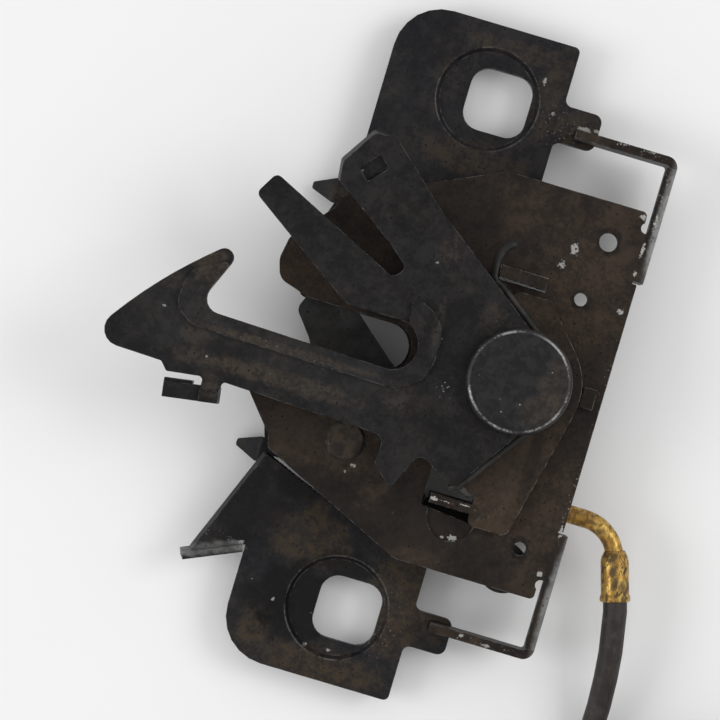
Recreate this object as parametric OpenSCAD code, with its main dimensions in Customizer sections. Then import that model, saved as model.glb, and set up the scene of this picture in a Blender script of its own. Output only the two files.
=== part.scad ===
// Bonnet latch: two riveted plates with a claw between them, a pawl and a safety hook lever
// on one stepped bush in front, and the release cable with its bent end tube.
// Origin midway between the ear holes, on the rear plane of their seats.
// +X runs away from the slot mouth, +Y to the upper ear, +Z to the lever side. Millimetres.

/* [Mounting ears] */
// Distance between the two ear holes
hole_pitch = 110; // [104:1:125]
// Side of the rounded square hole in each ear
hole_side = 13.2; // [10:0.1:15]
// Corner radius of the ear holes
hole_corner = 3.8; // [1:0.1:4.5]
// Diameter of the pressed seat round each hole
seat_d = 21.6; // [20:0.1:23]
// How far the seat lies off its hole, towards the slot mouth
seat_shift = 2.3; // [0:0.1:2.4]
// Depth of the pressed seat
seat_depth = 1; // [0.6:0.1:1.8]
// Draft of the seat's wall, on the radius
seat_draft = 0.8; // [0.2:0.1:1.2]
// Ear beyond the hole centre, along Y
ear_end = 15.6; // [14:0.1:20]
// Ear edge on the mouth side of the hole centre
ear_left = 24.2; // [22:0.1:26]
// Ear edge on the far side of the hole centre
ear_right = 13.3; // [12.5:0.1:15]
// Radius of the ear's outer corner on the mouth side
ear_corner = 10; // [4:0.5:13]
// Length of the tab that takes a leg of the front plate
tab_len = 8.5; // [7:0.1:11]
// Width of that tab
tab_w = 7.7; // [6:0.1:9]

/* [Back plate] */
// Sheet thickness of the back plate
back_t = 2.2; // [1.6:0.1:3]
// Width of the striker slot in both plates
slot_w = 9.8; // [8.5:0.1:10.5]
// Blind end of the back plate's slot, from the hole line
slot_end = 3.2; // [2:0.1:5]
// Length of each lug beside the slot mouth
lug_len = 6.6; // [4:0.1:8]
// Width of a mouth lug at its root
lug_w = 5.2; // [4:0.1:6]
// Angle that the mouth lugs are bent back
lug_bend = 44; // [20:1:60]
// Angle that the wing is bent up
wing_bend = 22; // [18:1:24]

/* [Front plate] */
// Sheet thickness of the front plate
front_t = 1.8; // [1.4:0.1:2.4]
// Clear space between the two plates
plate_gap = 8; // [7.8:0.1:10]
// Half height of the front plate at its straight edges
front_half = 41.2; // [40:0.1:43]
// Straight edge of the front plate, from the hole line
front_right = 37.5; // [36.8:0.1:39]
// Nose of the front plate beside the slot, from the hole line
front_nose = 34; // [31:0.1:36]
// Where the folded flange starts, from the centre line
flange_from = 27; // [24:0.5:30]
// How far the flange stands out past the straight edge
flange_out = 1.4; // [1:0.1:2]
// Inner radius of the flange bend
bend_r = 0.6; // [0.3:0.1:1]
// Free end of the spring tongue, from the hole line
tongue_end = 9.9; // [9.5:0.1:12]
// Width of the spring tongue
tongue_w = 2.5; // [2:0.1:3]
// Diameter of the two small tooling holes
tool_hole_d = 2.7; // [2:0.1:3.5]
// Diameter of the large tooling hole
tool_hole_big_d = 3.8; // [3:0.1:4.5]

/* [Main pivot] */
// Main pivot from the hole line, along X
pivot_x = 19.4; // [19:0.1:20]
// Main pivot from the centre line, along Y
pivot_y = 0.5; // [0:0.1:1]
// Shank diameter of the main rivet
pivot_d = 10; // [7:0.1:10.5]
// Diameter of the broad rivet head
head_d = 21.6; // [20:0.1:23]
// Height of the broad rivet head
head_h = 3.2; // [2:0.1:4]
// Edge radius of the broad rivet head
head_edge = 1.3; // [0.5:0.1:1.6]
// Diameter of the rear rivet head
tail_d = 15; // [12:0.5:18]
// Outside diameter of the bush that pawl and lever turn on
bush_d = 12.5; // [12:0.1:13]
// Outside diameter of the bush's spool inside the spring coil
spool_d = 16; // [14.5:0.1:16.2]

/* [Claw] */
// Claw pivot from the hole line, along X
claw_x = -10.5; // [-11:0.1:-10]
// Claw pivot from the centre line, along Y
claw_y = -20.9; // [-21.5:0.1:-20.5]
// Thickness of the claw
claw_t = 3.6; // [2.6:0.1:3.8]
// Width of the claw's fork, which takes the striker
fork_w = 10; // [9:0.1:11]
// Angle of the fork below the slot's own line when shut
fork_angle = 40.6; // [38:0.1:43]
// Hub diameter round the claw's bore
claw_hub_d = 20; // [16:0.5:22]
// Shank diameter of the claw rivet
claw_pin_d = 6; // [4:0.1:7]
// Head diameter of the claw rivet
claw_head_d = 8.2; // [7.5:0.1:10]
// Outside diameter of the bush that the claw turns on
claw_bush_d = 10; // [8.5:0.1:11]
// Diameter of the peg that the claw spring pushes
peg_d = 3; // [2:0.1:3.4]

/* [Pawl] */
// Thickness of the pawl
pawl_t = 2.8; // [2:0.1:3.4]
// Radius of the pawl's eye round the main pivot
pawl_eye = 13.4; // [12:0.1:13.6]
// Thickness of the pawl's two turned-down walls
tooth_t = 2; // [1.5:0.1:2.2]
// End of the pawl's tooth, from the hole line
tooth_end = 9.3; // [9:0.1:10]

/* [Safety lever] */
// Sheet thickness of the safety lever
lever_t = 2.5; // [1.8:0.1:3]
// Radius of the lever's eye round the main pivot
lever_eye = 8.3; // [7.6:0.1:8.8]
// Height of the raised rim round the lever's slot
rim_h = 1; // [0.4:0.1:1.6]
// Angle that the upper finger is bent up
finger_bend = 20; // [5:1:30]
// Length of the upper finger from its bend
finger_len = 21.6; // [16:0.1:26]
// Width of the upper finger at its bend
finger_w = 12.2; // [10:0.1:13]
// Depth of the window pressed into the upper finger
finger_recess = 1.2; // [0.4:0.1:1.6]
// How far the push tab reaches back from the lever
push_tab_h = 9; // [5:0.5:11]

/* [Springs] */
// Wire diameter of the lever spring
wire_d = 1.7; // [1.2:0.1:1.8]
// Mean radius of the lever spring's coil
coil_r = 9.2; // [9.1:0.1:9.6]
// Wire diameter of the claw spring
claw_wire_d = 1.1; // [0.8:0.1:1.2]
// Mean radius of the claw spring's coil
claw_coil_r = 6.2; // [6.2:0.1:7]

/* [Release cable] */
// Outside diameter of the cable sheath
sheath_d = 5; // [4:0.1:5.2]
// Outside diameter of the bent end tube
elbow_d = 3.8; // [3:0.1:4.2]
// Bore of the bent end tube
elbow_bore = 2.2; // [1.8:0.1:2.6]
// Centre-line radius of the end tube's bend
elbow_r = 8.5; // [7:0.1:9]
// Diameter of the inner wire
core_d = 1.5; // [1:0.1:1.6]
// Outside diameter of the crimp sleeve
sleeve_d = 5.8; // [5.4:0.1:6.5]
// Length of the crimp sleeve
sleeve_len = 9; // [7:0.5:10]
// Diameter of the barrel nipples
nipple_d = 5; // [4:0.1:5.5]
// Mean diameter of the cable's coil
cable_coil_d = 55; // [50:1:60]
// Thickness of the coil's bundle of turns
bundle_d = 18.2; // [17:0.1:20]

/* [Rubber stop] */
// Diameter of the round stop under the front plate
stop_d = 10.4; // [8:0.1:12]
// Height of the round stop
stop_h = 4.5; // [3:0.5:6]

/* [Clearances] */
// Radial running clearance of bores on their bushes
run_fit = 0.05; // [0.02:0.01:0.1]
// Gap between stacked pieces that move past each other
side_gap = 0.3; // [0.2:0.05:0.4]

/* [Hidden] */

// Facets: round bodies, rounded sheet corners and swept wires
$fn = 64;
corner_steps = 6;
wire_sides = 10;
sheath_sides = 12;

// Small overlap that fuses pieces of one sub-part
fuse = 0.2;

// Lever spring: leg directions and lengths, coil turn and height
upper_leg_angle = 143.3;
upper_leg_len = 17.4;
lower_leg_angle = 234.7;
lower_leg_len = 22.5;
coil_start = lower_leg_angle + 90;
coil_sweep = 360 + wrap(upper_leg_angle - 90 - coil_start);
wire_pitch = wire_d + 0.05;
coil_height = wire_d + wire_pitch * coil_sweep / 360;

// Levels along Z, from the rear seats to the top of the broad head
back_z = seat_depth;
back_mid = back_z + back_t / 2;
back_top = back_z + back_t;
claw_z = back_top + side_gap;
claw_top = claw_z + claw_t;
front_z = back_top + plate_gap;
front_top = front_z + front_t;
pawl_z = front_top + side_gap;
pawl_top = pawl_z + pawl_t;
coil_z = pawl_top + side_gap;
upper_leg_z = coil_z + wire_d / 2;
lever_z = coil_z + coil_height + side_gap;
lever_top = lever_z + lever_t;
head_z = lever_top + side_gap / 2;
cable_z = back_top + plate_gap / 2;

// Pivots and ears in plan
main_pivot = [pivot_x, pivot_y];
claw_pivot = [claw_x, claw_y];
ear_y = hole_pitch / 2;
tab_y = ear_y - 0.45;

// Front plate flange and legs
bend_out = bend_r + front_t;
flange_x = front_right + flange_out;
bend_x = flange_x - bend_out;
leg_top = front_top - bend_out;
leg_out = tab_y - 0.85;
tenon_x = [ear_right + 3.6, ear_right + tab_len - 1.4];
tenon_fit = 0.05;
tenon_end = back_z - 0.6;
relief_d = 2.2;
relief_y = 3.2;

// Rubbing faces of the tongue and the window cut for it
tongue_y = 19.9;
tongue_root = 20.4;
tongue_rise = 6.5;
tongue_gap = 0.3;

// Cable end: bend centre, direction after the bend and lengths
cable_y = -22.5;
lug_face = 35.8;
cable_lug_w = 11.6;
elbow_from = 31.5;
elbow_straight = 41.5;
elbow_turn = 73;
elbow_exit = [elbow_straight + elbow_r * sin(elbow_turn), cable_y - elbow_r + elbow_r * cos(elbow_turn)];
exit_dir = [cos(elbow_turn), -sin(elbow_turn)];
elbow_centre = [elbow_straight, cable_y - elbow_r];
elbow_tip = elbow_exit + sleeve_len / 2 * exit_dir;
elbow_route = concat(
    [[elbow_straight - 0.6, cable_y, cable_z]],
    [for (i = [0:12]) let (q = polar(elbow_centre, elbow_r, 90 - elbow_turn * i / 12)) [q[0], q[1], cable_z]],
    [[elbow_tip[0], elbow_tip[1], cable_z]]
);
sleeve_end = elbow_exit + sleeve_len * exit_dir;
sleeve_over = 1.5;
ear_face = 19.4;

// Table level under the part, coil centre and the end that lies beside it
table_z = back_z - 4.6;
lay_z = table_z + sheath_d / 2;
coil_centre = [80, -98];
tie_w = 6;
tie_t = 0.8;
coil_mid = table_z + tie_t + bundle_d / 2;

// Route of the sheath from the crimp sleeve to the coil, chosen by hand
lead_route = [
    [sleeve_end[0], sleeve_end[1], cable_z],
    [sleeve_end[0] + 2 * exit_dir[0], sleeve_end[1] + 2 * exit_dir[1], cable_z],
    [53.5, -42.5, 6.8], [54.5, -47.5, 5.8], [55.2, -53, 4.4], [55.7, -59, 2.6], [55.8, -65, 1],
    [55.4, -71, -0.2], [54.7, -77, lay_z + 0.3], [53.8, -83, lay_z], [53, -89, lay_z], [52.6, -95, lay_z]
];
// Route of the far end from the coil to its ferrule, as high as the ferrule needs
ferrule_d = 6.6;
tail_z = table_z + ferrule_d / 2;
tail_route = [
    [107.5, -102, tail_z], [107.5, -96, tail_z], [107.6, -90, tail_z], [107.7, -84, tail_z],
    [107.8, -78, tail_z], [107.9, -72, tail_z], [108, -66, tail_z]
];
tail_tip = tail_route[len(tail_route) - 1];
ferrule_len = 14;
end_core_len = 16;
end_nipple_len = 7;

// Unit vector from a to b, and the plan part of a corner
function toward(a, b) = (b - a) / norm(b - a);
function plan(p) = [p[0], p[1]];
function polar(c, r, a) = [c[0] + r * cos(a), c[1] + r * sin(a)];
function wrap(a) = a > 180 ? wrap(a - 360) : a <= -180 ? wrap(a + 360) : a;

// Points of an arc about c
function arc(c, r, a, sweep, n) = [for (i = [0:n]) polar(c, r, a + sweep * i / n)];

// Points that round the corner q = [x, y, radius] between its neighbours p and s
function round_corner(p, q, s) =
    q[2] == 0 ? [plan(q)] :
    let (
        u = toward(plan(q), plan(p)),
        v = toward(plan(q), plan(s)),
        half = acos(u * v) / 2,
        c = plan(q) + toward([0, 0], u + v) * q[2] / sin(half),
        e = plan(q) + u * q[2] / tan(half) - c,
        f = plan(q) + v * q[2] / tan(half) - c,
        a = atan2(e[1], e[0])
    )
    arc(c, q[2], a, wrap(atan2(f[1], f[0]) - a), corner_steps);

// Closed outline with every corner [x, y, radius] rounded
function rounded(q) =
    let (n = len(q))
    [for (i = [0:n - 1]) each round_corner(q[(i + n - 1) % n], q[i], q[(i + 1) % n])];

// Upper half of an outline, right to left, completed by its mirror image below the centre line
function both_halves(q) =
    concat(q, [for (i = [len(q) - 1:-1:0]) [q[i][0], -q[i][1], q[i][2]]]);

// Corner where two edges tangent to a circle meet, as a corner with the circle's radius
function eye_corner(c, r, normal_a, normal_b) =
    let (mid = (normal_a + normal_b) / 2, p = polar(c, r / cos((normal_a - normal_b) / 2), mid))
    [p[0], p[1], r];

// Sheet metal of an outline between two levels
module sheet(corners, z, t) {
    translate([0, 0, z]) linear_extrude(t) polygon(rounded(corners));
}

// Sheet that is bent about the line p to q: local u along the line, v to its left, mid-plane at z
module bent_sheet(p, q, z, t, angle, corners) {
    along = q - p;
    translate([p[0], p[1], z])
        rotate([0, 0, atan2(along[1], along[0])])
        rotate([angle, 0, 0])
        translate([0, 0, -t / 2])
        linear_extrude(t) polygon(rounded(corners));
}

// Round of a bend along the line p to q, a little short of its ends
module knuckle(p, q, z, d) {
    along = q - p;
    inset = 0.2;
    translate([p[0], p[1], z])
        rotate([0, 0, atan2(along[1], along[0])])
        rotate([0, 90, 0])
        translate([0, 0, inset])
        cylinder(d = d, h = norm(along) - 2 * inset);
}

module bore(at, d, z, h) {
    translate([at[0], at[1], z]) cylinder(d = d, h = h);
}

module sleeve(at, outer, inner, z, h) {
    difference() {
        bore(at, outer, z, h);
        bore(at, inner, z - fuse, h + 2 * fuse);
    }
}

// Direction of a route at its point i
function heading(p, i) = toward(p[max(i - 1, 0)], p[min(i + 1, len(p) - 1)]);

// Round tube of one diameter swept along a route
module swept(p, d, sides) {
    n = len(p);
    points = [
        for (i = [0:n - 1])
            let (t = heading(p, i), u = toward([0, 0, 0], cross([0, 0, 1], t)), v = cross(t, u))
            for (k = [0:sides - 1])
                p[i] + d / 2 * (cos(360 * k / sides) * u + sin(360 * k / sides) * v)
    ];
    walls = [
        for (i = [0:n - 2])
            for (k = [0:sides - 1])
                let (m = (k + 1) % sides)
                [i * sides + k, i * sides + m, (i + 1) * sides + m, (i + 1) * sides + k]
    ];
    first = [for (k = [sides - 1:-1:0]) k];
    last = [for (k = [0:sides - 1]) (n - 1) * sides + k];
    polyhedron(points, [for (f = concat([first], walls, [last])) [for (k = [len(f) - 1:-1:0]) f[k]]]);
}

// Turns of a coil about c, with the level changing evenly from z
function coil_turns(c, r, a, sweep, z, rise, n) =
    [for (i = [0:n]) let (p = polar(c, r, a + sweep * i / n)) [p[0], p[1], z + rise * i / n]];

// Plan outlines, as corners [x, y, radius]
web_right = 6.5;
lip_x = 28.5;
mouth_x = 26.7;
lug_y = 28;
back_half = [
    [web_right, 30, 4], [ear_right, front_half - 3, 3],
    [ear_right, tab_y - tab_w / 2, 1.5], [ear_right + tab_len, tab_y - tab_w / 2, 1.8],
    [ear_right + tab_len, tab_y + tab_w / 2, 1.8], [ear_right, tab_y + tab_w / 2, 1.5],
    [ear_right, ear_y + ear_end, 1.2], [-ear_left, ear_y + ear_end, ear_corner],
    [-ear_left, ear_y - 15.5, 4], [-mouth_x, lug_y + lug_w / 2, 1], [-mouth_x, lug_y - lug_w / 2, 1],
    [-lip_x, 20, 2], [-lip_x, slot_w / 2, 1.5], [-slot_end, slot_w / 2, slot_w * 0.49]
];
lobe_r = 12.5;
pivot_lobe = [
    [web_right - 2, pivot_y + lobe_r, 0], [pivot_x + lobe_r, pivot_y + lobe_r, lobe_r * 0.9],
    [pivot_x + lobe_r, -8, 3], [lug_face, -13, 2], [lug_face, -29, 2], [28, -29, 2],
    [22, -17, 3], [13, pivot_y - lobe_r, 3], [web_right - 2, pivot_y - lobe_r, 0]
];
wing_root = [[-24.3, -47.5], [-12.7, -33.4]];
wing_cut = [
    [wing_root[0][0], wing_root[0][1], 0], [wing_root[1][0], wing_root[1][1], 0],
    [-12.2, -31, 1], [-20, -28.6, 1.5], [-24.5, -28.6, 1],
    [-24.5, -31.6, 0], [-30, -31.6, 0], [-30, -49, 0]
];
wing_len = norm(wing_root[1] - wing_root[0]);
wing_corners = [[0, 0, 0], [wing_len, 0, 0], [14.3, 14.4, 0.8], [-10.5, 5.9, 0.4]];
wing_edge = plan(wing_corners[3]);
hem_t = 1.2;
hem_h = 3;
hem_from = 1;
hem_over = 1.6;
hem_lap = 0.4;
web_low = 2.6 - front_half;
lower_web = [
    [web_right - 2, -27.9, 0], [20.6, -27.9, 1.5], [20.6, web_low, 2], [ear_right - 2, web_low, 0]
];
lug_corners = [[0, 0, 0], [lug_w, 0, 0], [lug_w / 2 + 0.7, lug_len, 0.6], [lug_w / 2 - 0.7, lug_len, 0.6]];

front_slot_end = 2.8;
front_upper = [
    [front_right, flange_from - 0.6, 0.4], [bend_x, flange_from - 0.6, 0],
    [bend_x, front_half - relief_y, 0], [front_right - 2, front_half - relief_y, 0.3],
    [front_right - 2, front_half, 1], [5.8, front_half, 5],
    [-25.4, 26.8, 1.5], [-25.9, 24.3, 1],
    [0.8 - front_nose, 15.6, 2], [-front_nose, 11, 4], [1.2 - front_nose, 7, 3],
    [-26, slot_w / 2, 6], [-front_slot_end, slot_w / 2, slot_w * 0.49]
];
tooth_window = [
    [8, -29, 0.6], [8, -18.5, 1], [26.8, -18.5, 1], [26.8, -25, 1], [25.4, -29.6, 1], [18.4, -30, 1]
];
dish_at = [14.6, -29.8];
dish_d = 10;
dish_depth = 0.7;
tooling_holes = [[27.4, 20.3], [29.9, -32]];
tooling_hole_big = [29.5, 33.1];
stop_lug = [[pivot_x + pawl_eye + side_gap, -0.8], [2.8, 4.2]];
stop_lug_h = 1.4;
stop_at = [27.9, 4.4 - front_half];

// Fork frame of the claw: along the fork from its blind end, and across it
fork_at = [-3, 1];
fork_out = [-cos(fork_angle), sin(fork_angle)];
fork_side = [sin(fork_angle), cos(fork_angle)];
function in_fork(along, across, r) =
    let (p = fork_at + along * fork_out + across * fork_side)
    [p[0], p[1], r];
tail_end = tooth_end - 0.6;
claw_corners = [
    in_fork(17.6, -fork_w / 2, 2.5), [-22.2, 10.2, 2.5], [-26.4, 5.6, 2.5], [-27.8, 2.2, 2], [-23, -3.8, 6],
    [-20.6, claw_y, 8], [-18, -31, 8], [-6, -31.5, 8], [tail_end, -32.4, 3], [tail_end, -27.4, 1.5],
    [-0.5, -17.5, 7], in_fork(-fork_w * 1.05, -3, 5), in_fork(-fork_w, fork_w, 7),
    in_fork(6.5, fork_w / 2 + 5.5, 2), in_fork(7.5, fork_w / 2, 1.5),
    in_fork(-fork_w / 2, fork_w / 2, fork_w * 0.49), in_fork(-fork_w / 2, -fork_w / 2, fork_w * 0.49)
];

// Claw spring: moving leg, fixed leg that leans on the spacer, and the peg beside the moving leg
claw_leg_angle = 150;
claw_leg_len = 13;
peg_along = 10.5;
spacer_d = spool_d;
spacer_lean = spacer_d / 2 + claw_wire_d / 2 + 0.1;
pivot_span = norm(main_pivot - claw_pivot);
pivot_bearing = atan2(main_pivot[1] - claw_pivot[1], main_pivot[0] - claw_pivot[0]);
fixed_leg_angle = pivot_bearing - asin((claw_coil_r - spacer_lean) / pivot_span);
claw_coil_start = claw_leg_angle - 90;
claw_coil_sweep = wrap(fixed_leg_angle + 90 - claw_coil_start) - 720;
claw_wire_pitch = claw_wire_d + 0.05;
claw_coil_z = claw_top + side_gap + claw_wire_d / 2;
claw_coil_rise = claw_wire_pitch * abs(claw_coil_sweep) / 360;
peg_off = peg_d / 2 + claw_wire_d / 2 + 0.05;
peg_at = polar(polar(polar(claw_pivot, claw_coil_r, claw_coil_start), peg_along, claw_leg_angle),
    peg_off, claw_leg_angle + 90);

// Pawl outline: foot, straight edge, eye, upper end and the hidden edge under the lever
pawl_edge_angle = 76.5;
pawl_corners = [
    [17.9, -30.3, 1.5], [26.3, -30.3, 1.6],
    eye_corner(main_pivot, pawl_eye, pawl_edge_angle - 90, 40.6),
    [21.6, 18.2, 1], [14.4, 18.2, 1.5], [8.4, 6, 6], [10.6, -12, 6],
    [15, -23, 1.5], [17.9, -24.6, 1]
];

// Lever outline, from the hook's tip round the throat, slot, fingers, eye, lug, push tab and nose
arm_bottom = -17.2;
lever_slot = [-4.6, 5.7];
lever_slot_end = -1.85;
lever_slot_r = (lever_slot[1] - lever_slot[0]) * 0.49;
finger_root = [-13.2, 19.9];
finger_line = toward(finger_root, [-5, 28.9]);
finger_top = finger_root + finger_w * finger_line;
hook_tip = [-39.3, 14.5];
throat = [-46.9, -3.4];
rim_tip = throat + 0.6 * (hook_tip - throat);
stem_x = [-41.5, -37.6];
stem_y = -18.8;
lever_corners = [
    [hook_tip[0], hook_tip[1], 1.85], [throat[0], throat[1], 3], [lever_slot_end, lever_slot[0], lever_slot_r],
    [lever_slot_end, lever_slot[1], lever_slot_r], [-18.2, lever_slot[1], 4],
    [-41.8, 21.9, 1.3], [-38.9, 26.9, 1.3], [-10.6, 13.4, 1.6], [-8.7, 16, 1.2],
    [finger_root[0], finger_root[1], 0], [finger_top[0], finger_top[1], 0],
    eye_corner(main_pivot, lever_eye, upper_leg_angle - 90, lower_leg_angle + 90 - 360),
    [12.9, -23.7, 1.2], [4.6, -18.9, 1.6], [0.7, -27.4, 0.9], [-3.6, -23.4, 1], [-3.3, arm_bottom - 0.4, 2],
    [stem_x[1], arm_bottom + 0.8, 0.8], [stem_x[1], stem_y, 0], [stem_x[0], stem_y, 0],
    [stem_x[0], arm_bottom + 0.7, 0.8], [-49, -17.5, 0.6], [-50.5, -15.8, 0.6],
    [-66.5, -15.3, 3.5], [-56, -0.3, 95]
];
rim_corners = [
    [rim_tip[0], rim_tip[1], 0.6], [-50.4, 3.4, 5], [-50.8, -4.6, 4], [-46.4, -7.1, 3],
    [2.1, -8, 8], [2.1, 9.4, 7.2], [-5.4, 10.6, 0.6], [-4.9, lever_slot[1], 0],
    [lever_slot_end, lever_slot[1], lever_slot_r], [lever_slot_end, lever_slot[0], lever_slot_r],
    [throat[0], throat[1], 3]
];
finger_corners = [
    [0, 0, 0], [finger_w, 0, 0], [finger_w - 0.4, 18.4, 1.2], [8.8, finger_len, 1.2],
    [0.3, finger_len - 1.5, 1.2], [-2.4, 16.9, 1.2], [-1.8, 13, 2]
];
finger_window = [[2.3, 13.9, 0.5], [7.3, 13.9, 0.5], [7.3, 17.2, 0.5], [2.3, 17.2, 0.5]];
push_tab_turn = 8.7;
push_tab_len = 11.4;
push_tab_t = 2.2;

module back_plate() {
    color("#35302b") difference() {
        union() {
            difference() {
                sheet(both_halves(back_half), back_z, back_t);
                sheet(wing_cut, back_z - fuse, back_t + 2 * fuse);
            }
            sheet(pivot_lobe, back_z, back_t);
            for (side = [-1, 1]) {
                translate([-seat_shift, side * ear_y, 0])
                    cylinder(d1 = seat_d - 2 * seat_draft, d2 = seat_d, h = seat_depth + fuse);
            }
            mouth_lug([-mouth_x, lug_y - lug_w / 2], [-mouth_x, lug_y + lug_w / 2]);
            mouth_lug([-mouth_x, -lug_y - lug_w / 2], [-mouth_x, lug_w / 2 - lug_y]);
            sheet(lower_web, back_z, back_t);
            wing();
            translate([lug_face - back_t, cable_y - cable_lug_w / 2, back_z])
                cube([back_t, cable_lug_w, front_z - side_gap - back_z]);
        }
        for (side = [-1, 1]) {
            translate([-seat_shift, side * ear_y, back_top - seat_depth])
                cylinder(d1 = seat_d - 2 * seat_draft, d2 = seat_d + 2 * seat_draft * fuse,
                    h = seat_depth + fuse);
            translate([0, side * ear_y, 0]) ear_hole();
            translate([tenon_x[0] - tenon_fit, side * (leg_out - front_t / 2) - front_t / 2 - tenon_fit, 0])
                cube([tenon_x[1] - tenon_x[0] + 2 * tenon_fit, front_t + 2 * tenon_fit, back_top + fuse]);
        }
        bore(main_pivot, pivot_d + 2 * run_fit, 0, back_top + fuse);
        bore(claw_pivot, claw_pin_d + 2 * run_fit, 0, back_top + fuse);
        translate([lug_face - back_t - fuse, cable_y, cable_z])
            rotate([0, 90, 0])
            cylinder(d = elbow_d + 2 * run_fit, h = back_t + 2 * fuse);
    }
}

// Flap bent up from the lower ear, with its outer edge turned up as a hem
module wing() {
    along = wing_root[1] - wing_root[0];
    bent_sheet(wing_root[0], wing_root[1], back_mid, back_t, wing_bend, wing_corners);
    knuckle(wing_root[0], wing_root[1], back_mid, back_t);
    translate([wing_root[0][0], wing_root[0][1], back_mid])
        rotate([0, 0, atan2(along[1], along[0])])
        rotate([wing_bend, 0, 0])
        rotate([0, 0, atan2(wing_edge[1], wing_edge[0])])
        translate([hem_from, -hem_lap, -back_t / 2])
        cube([norm(wing_edge) - hem_from + hem_over, hem_t + hem_lap, hem_h]);
}

module mouth_lug(p, q) {
    bent_sheet(p, q, back_mid, back_t, -lug_bend, lug_corners);
    knuckle(p, q, back_mid, back_t);
}

module ear_hole() {
    half = hole_side / 2;
    corners = [for (c = [[1, 1], [-1, 1], [-1, -1], [1, -1]]) [c[0] * half, c[1] * half, hole_corner]];
    sheet(corners, -fuse, back_top + 2 * fuse);
}

module front_plate() {
    color("#3d3730") union() {
        difference() {
            sheet(both_halves(front_upper), front_z, front_t);
            sheet(tooth_window, front_z - fuse, front_t + 2 * fuse);
            bore(dish_at, dish_d, front_top - dish_depth, dish_depth + fuse);
            translate([tongue_end - tongue_gap, tongue_y - tongue_gap, front_z - fuse])
                cube([tongue_root - tongue_end, tongue_w + 2 * tongue_gap, front_t + 2 * fuse]);
            for (at = tooling_holes) bore(at, tool_hole_d, front_z - fuse, front_t + 2 * fuse);
            bore(tooling_hole_big, tool_hole_big_d, front_z - fuse, front_t + 2 * fuse);
            bore(main_pivot, pivot_d + 2 * run_fit, front_z - fuse, front_t + 2 * fuse);
            bore(claw_pivot, claw_pin_d + 2 * run_fit, front_z - fuse, front_t + 2 * fuse);
            bore(stop_at, stop_d / 2, front_z - fuse, front_t / 2 + fuse);
            for (side = [-1, 1]) {
                bore([bend_x - 0.4, side * (front_half - relief_y)], relief_d, front_z - fuse, front_t + 2 * fuse);
            }
        }
        translate([stop_lug[0][0], stop_lug[0][1], front_top - fuse])
            cube([stop_lug[1][0], stop_lug[1][1], stop_lug_h + fuse]);
        spring_tongue();
        leg();
        mirror([0, 1, 0]) leg();
    }
}

// Lanced strip that rises from its root and holds the spring's upper leg at its free end
module spring_tongue() {
    rise = upper_leg_z - front_z - front_t / 2;
    profile = [
        [tongue_root + 1, front_z], [tongue_root + 1, front_top], [tongue_root - 0.6, front_top],
        [tongue_root - tongue_rise, front_top + rise], [tongue_end, front_top + rise],
        [tongue_end, front_z + rise], [tongue_root - tongue_rise - 0.6, front_z + rise],
        [tongue_root - 1.4, front_z]
    ];
    translate([0, tongue_y + tongue_w, 0])
        rotate([90, 0, 0])
        linear_extrude(tongue_w) polygon(profile);
}

// Flange folded down from the straight edge, turned round the corner into a leg with a tenon
module leg() {
    bend_at = [bend_x, front_top - bend_out];
    profile = concat(
        arc(bend_at, bend_out, 90, -90, corner_steps),
        [[flange_x, back_top], [flange_x - front_t, back_top]],
        arc(bend_at, bend_r, 0, 90, corner_steps)
    );
    corner_at = [bend_x, leg_out - bend_out];
    translate([0, corner_at[1], 0])
        rotate([90, 0, 0])
        linear_extrude(corner_at[1] - flange_from) polygon(profile);
    difference() {
        sleeve(corner_at, 2 * bend_out, 2 * bend_r, back_top, leg_top - back_top);
        translate([corner_at[0] - 2 * bend_out, corner_at[1] - bend_out * 1.5, back_top - fuse])
            cube([2 * bend_out, 3 * bend_out, leg_top]);
        translate([corner_at[0] - bend_out, corner_at[1] - 2 * bend_out, back_top - fuse])
            cube([3 * bend_out, 2 * bend_out, leg_top]);
    }
    translate([tenon_x[0], leg_out - front_t, back_top])
        cube([corner_at[0] - tenon_x[0], front_t, leg_top - back_top]);
    translate([tenon_x[0], leg_out - front_t, tenon_end])
        cube([tenon_x[1] - tenon_x[0], front_t, back_top - tenon_end + fuse]);
}

module main_pivot_rivet() {
    head_r = head_d / 2;
    peened_d = pivot_d - 1;
    tail_z = back_z - 3;
    profile = concat(
        [[0, table_z], [peened_d / 2 - 0.6, table_z], [peened_d / 2, table_z + 0.6], [peened_d / 2, tail_z]],
        [[tail_d / 2 - 0.8, tail_z], [tail_d / 2, tail_z + 0.8], [tail_d / 2, back_z]],
        [[pivot_d / 2, back_z], [pivot_d / 2, head_z], [head_r - 0.4, head_z], [head_r, head_z + 0.4]],
        arc([head_r - head_edge, head_z + head_h - head_edge], head_edge, 0, 90, corner_steps),
        [[0, head_z + head_h]]
    );
    color("#4a484b") translate(main_pivot) rotate_extrude() polygon(profile);
}

module pivot_spacer() {
    color("#5a5650") sleeve(main_pivot, spacer_d, pivot_d + 2 * run_fit, back_top, plate_gap);
}

module pivot_bush() {
    shoulder = side_gap / 2;
    profile = [
        [pivot_d / 2 + run_fit, front_top], [bush_d / 2, front_top], [bush_d / 2, pawl_top + shoulder],
        [spool_d / 2, pawl_top + shoulder], [spool_d / 2, lever_z - shoulder], [bush_d / 2, lever_z - shoulder],
        [bush_d / 2, head_z], [pivot_d / 2 + run_fit, head_z]
    ];
    color("#6b655c") translate(main_pivot) rotate_extrude() polygon(profile);
}

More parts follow.
